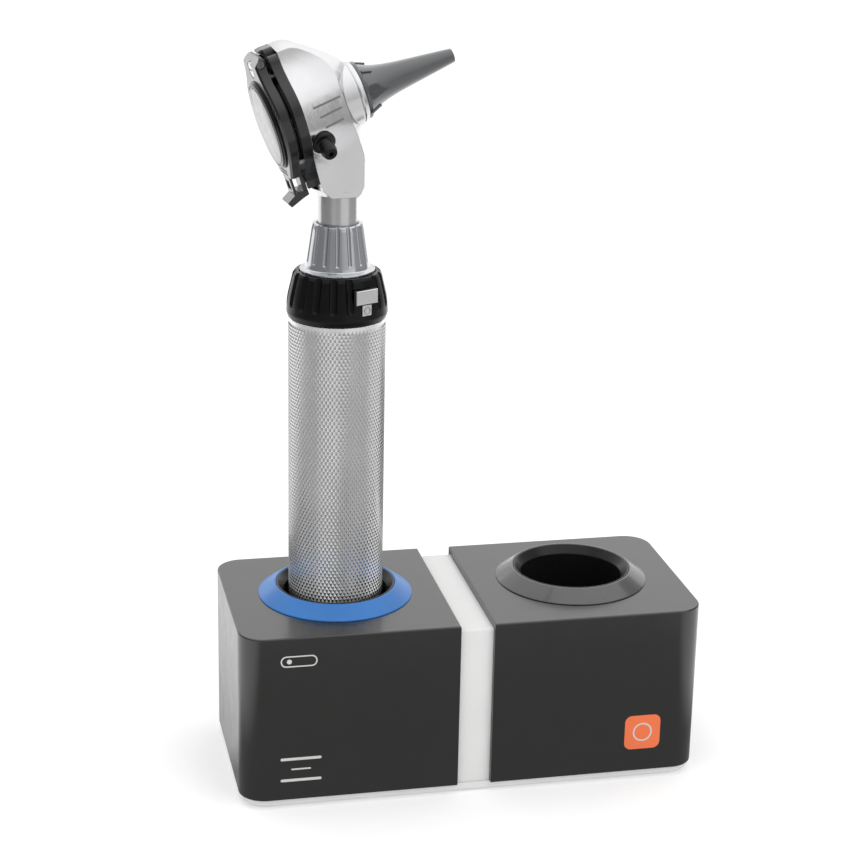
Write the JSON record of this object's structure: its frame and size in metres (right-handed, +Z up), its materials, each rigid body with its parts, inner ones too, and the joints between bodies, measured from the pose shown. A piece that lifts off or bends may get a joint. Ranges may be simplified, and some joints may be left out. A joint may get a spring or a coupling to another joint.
{
  "type": "otoscope with charging base",
  "caption": "Otoscope with a knurled handle, fluted light control, tilted metal viewing head, swinging lens window and ear tip, standing in a two-well charging base.",
  "frame": {"origin": "on the table, under the middle of the charging base", "axes": "+X along the base's long side towards the empty well, -Y towards the front, +Z up"},
  "size_m": [0.143, 0.064, 0.2255],
  "materials": {
    "black_gloss": "satin gloss",
    "black_satin": "satin",
    "silver_plastic": "fine silver paint",
    "rubber_black": "matte",
    "screw_steel": "satin",
    "blue_light": "glossy, lit from below",
    "ring_gloss": "glossy",
    "board_green": "solder mask",
    "component_black": "moulded",
    "contact_gold": "gold plated",
    "spring_steel": "bright",
    "knurled_chrome": "bright, knurled",
    "battery_wrap": "shrink film",
    "satin_chrome": "satin",
    "core_metal": "machined",
    "lamp_metal": "machined",
    "insulator_white": "natural",
    "light_guide": "polished fibre end",
    "lens_glass": "polished",
    "bezel_grey": "satin gloss",
    "tip_grey": "glossy",
    "button_silver": "satin"
  },
  "bodies": {
    "base": {"base_plate": "silver_plastic", "rubber_feet": "rubber_black", "base_screws": "screw_steel", "left_housing": "black_gloss", "right_housing": "black_gloss", "centre_spine": "silver_plastic", "left_well_cup": "black_satin", "right_well_cup": "black_satin", "left_light_ring": "blue_light", "right_light_ring": "ring_gloss", "ring_led_boards": "board_green", "charger_board": "board_green", "board_components": "component_black", "power_socket": "black_satin", "contact_sleeves": "contact_gold", "left_plunger_spring": "spring_steel", "right_plunger_spring": "spring_steel", "leaf_contacts": "contact_gold"},
    "left_contact": {"left_contact_plunger": "contact_gold"},
    "right_contact": {"right_contact_plunger": "contact_gold"},
    "handle": {"handle_tube": "knurled_chrome", "end_cap": "black_satin", "end_contact": "contact_gold", "end_ring_contact": "contact_gold", "battery_cell": "battery_wrap", "battery_spring": "spring_steel", "socket_core": "core_metal", "control_board": "board_green", "contact_insulator": "insulator_white", "head_contact_pin": "contact_gold", "ring_retainer": "spring_steel", "friction_ring": "rubber_black"},
    "control_ring": {"brightness_ring": "black_satin", "index_plate": "button_silver", "button_spring": "spring_steel"},
    "lock_button": {"release_button": "button_silver"},
    "head": {"bayonet_collar": "satin_chrome", "neck_tube": "satin_chrome", "led_module": "lamp_metal", "lamp_contact": "contact_gold", "contact_bush": "insulator_white", "head_housing": "satin_chrome", "nose_cone": "satin_chrome", "nose_o_ring": "rubber_black", "fibre_bundle": "light_guide", "insufflation_port": "black_satin", "rear_plate": "black_satin", "plate_screws": "screw_steel", "pivot_pin": "screw_steel", "pivot_cap": "satin_chrome"},
    "window": {"window_frame": "black_satin", "hinge_screw": "screw_steel", "lens_bezel": "bezel_grey", "magnifier_lens": "lens_glass", "window_seal": "rubber_black"},
    "ear_tip": {"speculum": "tip_grey"}
  },
  "joints": [
    {"name": "handle_lift", "type": "slide", "parent": "base", "child": "handle", "axis": [0, 0, 1], "range_m": [0, 0.06]},
    {"name": "left_contact_rise", "type": "slide", "parent": "base", "child": "left_contact", "axis": [0, 0, 1], "range_m": [0, 0.0015], "deforming": ["left_plunger_spring"]},
    {"name": "right_contact_press", "type": "slide", "parent": "base", "child": "right_contact", "axis": [0, 0, -1], "range_m": [0, 0.0015], "stiffness_N_per_m": 150, "deforming": ["right_plunger_spring"]},
    {"name": "ring_turn", "type": "hinge", "parent": "handle", "child": "control_ring", "pos_m": [-0.03775, 0.001, 0.151], "axis": [0, 0, 1], "range_deg": [0, 110]},
    {"name": "button_press", "type": "slide", "parent": "control_ring", "child": "lock_button", "axis": [-0.4274, 0.9041, 0], "range_m": [0, 0.0009], "stiffness_N_per_m": 600},
    {"name": "head_turn", "type": "hinge", "parent": "handle", "child": "head", "pos_m": [-0.03775, 0.001, 0.154], "axis": [0, 0, 1], "range_deg": [-60, 0]},
    {"name": "window_swing", "type": "hinge", "parent": "head", "child": "window", "pos_m": [-0.06177, -0.00165, 0.21809], "axis": [0.9437, 0.1042, 0.314], "range_deg": [-85, 85]},
    {"name": "tip_pull", "type": "slide", "parent": "head", "child": "ear_tip", "axis": [0.9437, 0.1042, 0.314], "range_m": [0, 0.03]}
  ],
  "couplings": [
    {"joint": "left_contact_rise", "follows": "handle_lift", "ratio": 0.025}
  ]
}
